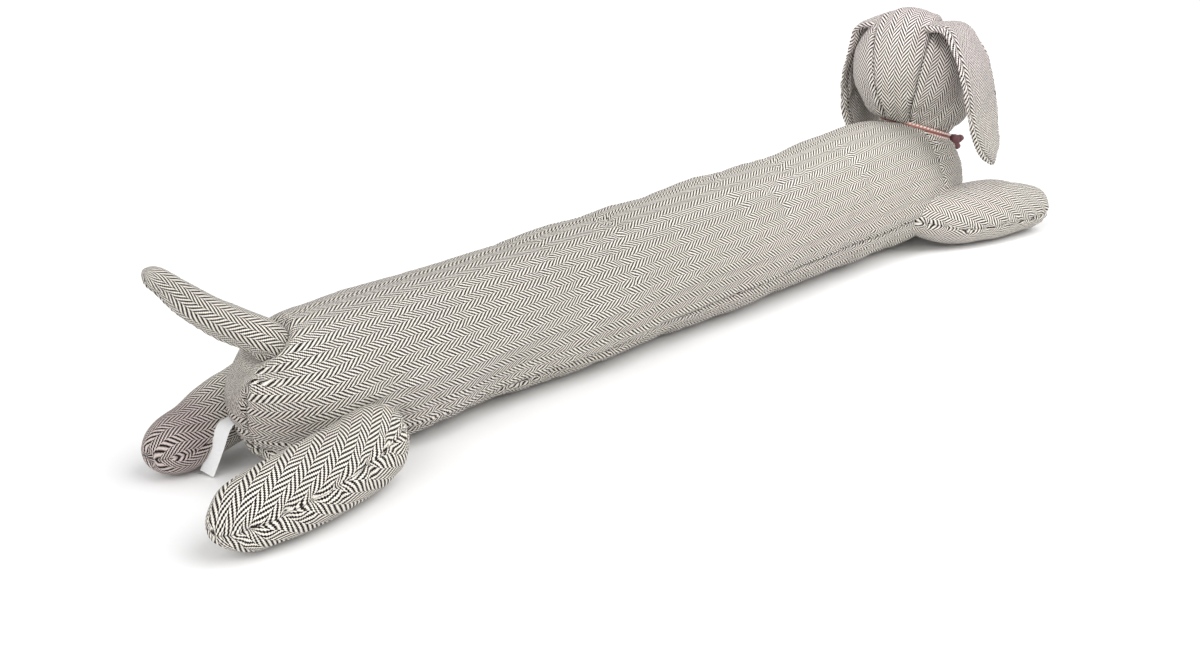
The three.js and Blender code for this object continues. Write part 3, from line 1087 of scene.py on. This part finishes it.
def finishLimb(name, limb):
    skin, seed = Skin(name, limb), limb["seed"]
    angle, along, radius, distances = skin.angle, skin.along, skin.radius, skin.distances
    share = (distances / distances[-1])[:, None]
    seam = limb["seam"][0] + (limb["seam"][1] - limb["seam"][0]) * share
    fromNear = halfTurn(angle - seam)
    near, opposite = arc(fromNear, radius), arc((angle - seam) % 360 - 180, radius)
    relief = swells(skin.grid, ((0.6, 45, seed), (0.2, 16, seed + 40)))
    relief += seamRelief(near, along, seed, *limbMake["seam"])
    relief += seamRelief(opposite, along, seed + 1, *limbMake["seam"])
    dimples, pull = puckers(near, along, seed + 2, *limb["pucker"])
    dimples2, pull2 = puckers(opposite, along, seed + 3, *limb["pucker"])
    relief += dimples + dimples2
    toTip = (smoothStep(distances, 2, 11) * smoothStep(distances[-1] - distances, 2, 11))[:, None]
    relief *= smoothStep(skin.grid[..., 2], 0.0, 4.0) * toTip
    skin.lift(relief)
    skin.grid[..., 2] = np.maximum(skin.grid[..., 2], 0.0)
    # the upper panel is on the side where the ring goes over the top
    goesUp = 1 if 90 < limb["seam"][0] < 270 else -1
    above = -fromNear * goesUp  # degrees above the near seam
    upper = np.where((above > 0) & (above < 180), 1.0, -1.0)
    pull = (pull + pull2) * toTip[..., None] * min(limb["pucker"][1], 1.0)
    scaleA, scaleB = limb["scale"]
    turned = math.radians(limb["grain"])

    def onGrain(fromMiddle):
        a = along + pull[..., 0]
        b = arc(fromMiddle, radius) + pull[..., 1]
        lengthwise = (a * math.cos(turned) + b * math.sin(turned)) * scaleA
        return lengthwise, (-a * math.sin(turned) + b * math.cos(turned)) * scaleB

    fromSeam = upper * np.minimum(np.abs(near), np.abs(opposite))
    clothA = layers(*onGrain(above - 90), fromSeam)
    clothC = layers(*onGrain(-above - 90), -1.0)
    return addTube(name, skin, (bodyTree,), clothA, clothC, clothC, fromSeam * limbMake["seamShade"], along)


for name, limb in limbs.items():
    made[name] = finishLimb(name, limb)
print("stage: body, legs and paws")


def finishTail():
    skin = Skin("tail", tail)
    gap = arc(halfTurn(skin.angle - tail["seamAt"]), skin.radius)
    skin.lift(swells(skin.grid, tail["swells"]) + seamRelief(gap, skin.along, 31, *tail["seam"]))
    fromTop = halfTurn(skin.angle - (tail["seamAt"] - 180))
    across = arc(fromTop, np.maximum(skin.radius, 0.75 * skin.radius.max()))
    scaleA, scaleB = tail["scale"]
    cloth = layers(skin.along * scaleA, across * scaleB, 1.0)
    return addTube("tail", skin, (bodyTree,), cloth, cloth, cloth, np.abs(gap), skin.along)


made["tail"] = finishTail()


def finishHead():
    coarse = meshObject("coarse_head", settled["head"], headFaces)
    coarse.modifiers.new("finer", "SUBSURF").levels = 1
    found = shownMesh(coarse)
    points, faces = meshPoints(found), meshFaces(found)
    normals = np.empty(len(points) * 3)
    found.vertices.foreach_get("normal", normals)
    discard(coarse)
    gap, turn = gussetGap(points)
    ahead, side, up = headPlace(points)
    along = turn * math.pi / 180 * 46
    high = aboveNeck(points)
    relief = swells(points, skull["swells"]) + seamRelief(gap, along, 32, *skull["seam"])
    away = points - neck["centre"]
    spin = np.arctan2(away @ besideNeck, away @ acrossNeck)
    relief += 0.6 * bell(high - 5, 7) * np.sin(spin * 21 + 1.3 * np.sin(spin * 4))  # gathers over the collar
    relief *= smoothStep(high, 0.5, 3.5)
    points = keptAboveNeck(points + normals.reshape(-1, 3) * relief[:, None], 0.2)
    clothA = layers(along * 0.95, side * 0.93, gap)
    aroundHead = np.arctan2(np.abs(side), -(ahead - 4)) * 45
    lean = math.radians(skull["lean"])
    clothB = layers(
        (up * math.cos(lean) + aroundHead * math.sin(lean)) * 0.97 + 1.2,
        (-up * math.sin(lean) + aroundHead * math.cos(lean)) * 0.9 + 1.5, 1.0)
    return addSkin("head", points, faces, clothA, clothB, clothB, gap, along)


made["head"] = finishHead()
headTree = treeOf(made["head"])
print("stage: head and tail")


def finishEar(name, ear):
    skin, seed = Skin(name, ear), ear["seed"]
    along = skin.along
    half = np.argmin(np.abs(skin.angle - 180))
    fromRim = skin.around - skin.around[:, half : half + 1]
    # the wide face that looks to the dog's right is one panel, the rim and the other face are the next
    panel = np.minimum(-fromRim - ear["hem"], skin.around - 3.0)
    relief = swells(skin.grid, ((0.5, 30, seed), (0.2, 12, seed + 9)))
    skin.lift(relief + seamRelief(panel, along, seed, *earMake["seam"]))
    wave = 1.6 * np.sin(along / 26 + seed)
    skin.grid[..., 1] += wave * smoothStep(along, 30, 80)
    clothA = layers(along * 0.95, fromRim * 0.95, panel)
    clothB = layers(along * 0.9 + 1.5, -fromRim * 0.9 + 2.0, 1.0)
    return addTube(name, skin, (headTree, bodyTree), clothA, clothB, clothB, panel, along)


for name, ear in ears.items():
    made[name] = finishEar(name, ear)
print("stage: ears")

# Collar: a ribbon with two rows of pale stitches and a darker line between them

collar = {
    "inner": 29.35, "outer": 31.9, "half": 3.2, "sides": 220, "stitches": 60, "rowAt": 2.05,
    "stitchSize": (1.2, 0.9, 0.6), "coreThick": 0.55,
}


def addCollar():
    inner, outer, half = collar["inner"], collar["outer"], collar["half"]
    section = [
        (-half + 0.4, inner), (-half, inner + 0.5), (-half, outer - 0.7), (-half + 0.5, outer - 0.1),
        (-1.3, outer), (-0.7, outer - 0.35), (0, outer - 0.5), (0.7, outer - 0.35), (1.3, outer),
        (half - 0.5, outer - 0.1), (half, outer - 0.7), (half, inner + 0.5), (half - 0.4, inner),
    ]
    points = neckRings(section, collar["sides"]).reshape(-1, 3)
    band = meshObject("band", points, rowFaces(len(section), collar["sides"], True), bandFinish)
    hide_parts("collar")
    return band


# Many small rounded stitches in one mesh. Each spot is a centre and three half axes.
def ellipsoids(name, spots, finish, across=8, high=6):
    points, faces = [], []
    for centre, a, b, c in spots:
        start = len(points)
        points.append(centre - c)
        for k in range(1, high):
            rise, wide = -math.cos(k / high * math.pi), math.sin(k / high * math.pi)
            for turn in np.arange(across) / across * 2 * math.pi:
                points.append(centre + c * rise + (a * math.cos(turn) + b * math.sin(turn)) * wide)
        points.append(centre + c)
        faces += [tuple(start + i for i in f) for f in skinFaces(high - 1, across)]
    return meshObject(name, np.array(points), faces, finish)


def addStitches():
    chance = np.random.RandomState(8)
    spots = []
    for row, high in enumerate((-collar["rowAt"], collar["rowAt"])):
        for k in range(collar["stitches"]):
            turn = (k + 0.5 * row) / collar["stitches"] * 2 * math.pi
            out = neckOut(turn)
            side = -acrossNeck * math.sin(turn) + besideNeck * math.cos(turn)
            slant = unit(side * 0.95 + neckAxis * (0.35 if row else -0.35))
            spot = neckAxis * (high + chance.normal() * 0.08) + out * (collar["outer"] + 0.05)
            centre = neck["centre"] + spot
            long, broad, thick = collar["stitchSize"]
            spots.append((centre, slant * long, np.cross(out, slant) * broad, out * thick))
    return ellipsoids("band_stitches", spots, beadFinish)


def addCore(steps=360, sides=8):
    points = []
    for turn in np.arange(steps) / steps * 2 * math.pi:
        thick = collar["coreThick"] + 0.1 * math.sin(turn * 120)
        for r in np.arange(sides) / sides * 2 * math.pi:
            reach = collar["outer"] - 0.15 + math.cos(r) * thick
            points.append(neck["centre"] + neckOut(turn) * reach + neckAxis * (math.sin(r) * thick))
    return meshObject("band_core", np.array(points), rowFaces(steps, sides, True), coreFinish)


made["band"] = addCollar()
made["stitches"] = addStitches()
made["core"] = addCore()

# Knot: thick lumps of the cord drawn tight

knot = {
    "way": unit(np.array([0.6, -0.745, -0.295])),
    "away": 29 + 2.6 + 6,  # the neck, the band and half the knot
    "lumps": [
        ((-5, 3, 2), (3, -3, 0), 4.4), ((1, 1, -4), (2, -3, 4), 4.0),
        ((1, -1, -1), (4, -6, 4), 3.1), ((0, 0, -2), (0, -5, -7), 3.1),
    ],
    "cap": 2.9, "sides": 20, "step": 0.7, "twist": 0.28, "voxel": 0.45,
}


def addKnot():
    middle = neck["centre"] + knot["way"] * knot["away"]
    points, faces = [], []
    for start, end, radius in knot["lumps"]:
        rows = [(middle + np.array(spot), radius, radius) for spot in (start, end)]
        lump = tubeGrid(rows, (knot["cap"], knot["cap"]), knot["sides"], knot["step"], neckAxis)
        turns = ringTurns(knot["sides"])[None, :]
        twist = knot["twist"] * np.sin(turns * 3 + lump["distances"][:, None] * 1.5)
        grid = lump["grid"] + gridNormals(lump["grid"]) * twist[..., None]
        faces += [tuple(len(points) + i for i in f) for f in skinFaces(*grid.shape[:2])]
        points += list(withTips(grid, lump["tips"]))
    points, faces, edges = joinedSkin("rough_knot", np.array(points), faces, knot["voxel"])
    piece = meshObject("cord_knot", relax(points, edges, 2, 0.5), faces, knotFinish)
    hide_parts("collar_knot")
    return piece


made["knot"] = addKnot()

# Care label: a bare strip of white tape sewn in at the rump

label = {
    "rows": [((-384, 22, 33), 5, 0.6), ((-397, 20, 31), 5, 0.6),
             ((-404, 22, 17), 5, 0.6), ((-409, 26, 1.2), 5, 0.6)],
    "breadth": np.array([0.35, -0.94, 0.0]), "wide": 10.0, "steps": 44, "columns": 9,
    "curl": 0.5, "lowest": 0.4,
}


def addLabel():
    line = Line(label["rows"])
    steps, columns = label["steps"], label["columns"]
    points = []
    for k in range(steps + 1):
        share = k / steps
        centre, ahead, _ = line.at(line.length * k / steps)
        across = unit(label["breadth"] - ahead * np.dot(label["breadth"], ahead))
        out = np.cross(ahead, across)
        for j in range(columns):
            side = (j / (columns - 1) - 0.5) * label["wide"]
            curl = label["curl"] * math.sin(share * 7 + 0.5) * (side / 5) ** 2 * share
            spot = centre + across * side + out * curl
            spot[2] = max(spot[2], label["lowest"])
            points.append(spot)
    piece = meshObject("label_strip", np.array(points), rowFaces(steps + 1, columns, False, False), labelFinish)
    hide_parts("care_label")
    return piece, line.length


made["label"], labelLength = addLabel()

# Face: two eyes and a nose in plain satin stitch

face = {
    # where each patch is aimed from: ahead of the skull's centre, to the left of it, above it
    "eye_right": {"from": (138, -19, 4), "size": (4.2, 5.2), "dome": 0.9},
    "eye_left": {"from": (138, 19, 4), "size": (4.2, 5.2), "dome": 0.9},
    "nose": {"from": (160, 0, -20), "size": (9.0, 6.0), "dome": 1.2},
}


# A low dome of thread laid on the head where a line from in front of the face meets it
def addPatch(name, patch, sides=36, rings=7):
    ahead, left, up = patch["from"]
    start = skull["centre"] + faceWay * ahead + leftWay * left + np.array([0, 0, up])
    hit, normal, _, _ = headTree.ray_cast(Vector(toRow(start)), Vector(-faceWay))
    if hit is None:
        return
    centre, normal = fromRow(hit), np.array(normal)
    across = unit(np.cross([0, 0, 1], normal))
    upward = np.cross(normal, across)
    points = []
    for ring in range(rings + 1):
        share = ring / rings
        lift = patch["dome"] * math.sqrt(max(0.0, 1 - share**2)) + 0.05
        for turn in np.arange(sides) / sides * 2 * math.pi:
            wide, high = math.cos(turn) * patch["size"][0], math.sin(turn) * patch["size"][1]
            spot = centre + across * wide * share + upward * high * share
            near, nearNormal, _, _ = headTree.find_nearest(Vector(toRow(spot)))
            points.append(fromRow(near) + np.array(nearNormal) * lift)
    points += [spot - normal * 0.25 for spot in points[rings * sides :]]  # the edge, pressed into the head
    made[name] = meshObject(name, np.array(points), rowFaces(rings + 2, sides), faceFinish)


for name, patch in face.items():
    addPatch(name, patch)
print("stage: trimmings")

# Every piece hangs from one root empty

for piece in made.values():
    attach(piece, "root")

# Floor and light

floor = {"half": 14, "high": -0.0004, "white": (0.93, 0.93, 0.935, 1), "second": (0.95, 0.95, 0.95, 1)}  # metres
light = {
    # where it comes from, strength
    "suns": {"key_light": ((0.45, -0.95, 1.2), 0.55), "back_light": ((-1, -0.25, 0.6), 0.39)},
    "headLight": {"place": (-0.25, -0.15, 0.75), "target": (0.30, 0.0, 0.16), "size": 0.3, "power": 0.22},
    "spread": 50, "room": 0.63,
}


def addFloor():
    n = Nodes("floor_white")
    n.put(n.shader.inputs["Base Color"], n.mixed(n.noise(3), floor["white"], floor["second"]))
    n.finish(0.9)
    mesh = bpy.data.meshes.new("floor")
    corners = ((-1, -1), (1, -1), (1, 1), (-1, 1))
    points = [(x * floor["half"], y * floor["half"], floor["high"]) for x, y in corners]
    mesh.from_pydata(points, [], [(0, 1, 2, 3)])
    mesh.materials.append(n.material)
    addObject("floor", mesh)


def addSun(name, toward, strength):
    data = bpy.data.lights.new(name, "SUN")
    data.energy = strength * math.pi
    data.angle = math.radians(light["spread"])
    addObject(name, data).rotation_euler = Vector(toward).to_track_quat("Z", "Y").to_euler()


def addHeadLight():
    make = light["headLight"]
    data = bpy.data.lights.new("head_light", "AREA")
    data.shape = "DISK"
    data.size = make["size"]
    data.energy = make["power"]
    data.spread = math.radians(light["spread"])
    lamp = addObject("head_light", data)
    lamp.location = make["place"]
    lamp.rotation_euler = (Vector(make["target"]) - Vector(make["place"])).to_track_quat("-Z", "Y").to_euler()


addFloor()
for name, (toward, strength) in light["suns"].items():
    addSun(name, toward, strength)
addHeadLight()
world = bpy.data.worlds.new("world")
world.use_nodes = True
world.node_tree.nodes["Background"].inputs[0].default_value = (1, 1, 1, 1)
world.node_tree.nodes["Background"].inputs[1].default_value = light["room"]
bpy.context.scene.world = world
bpy.context.scene.view_settings.view_transform = "Standard"
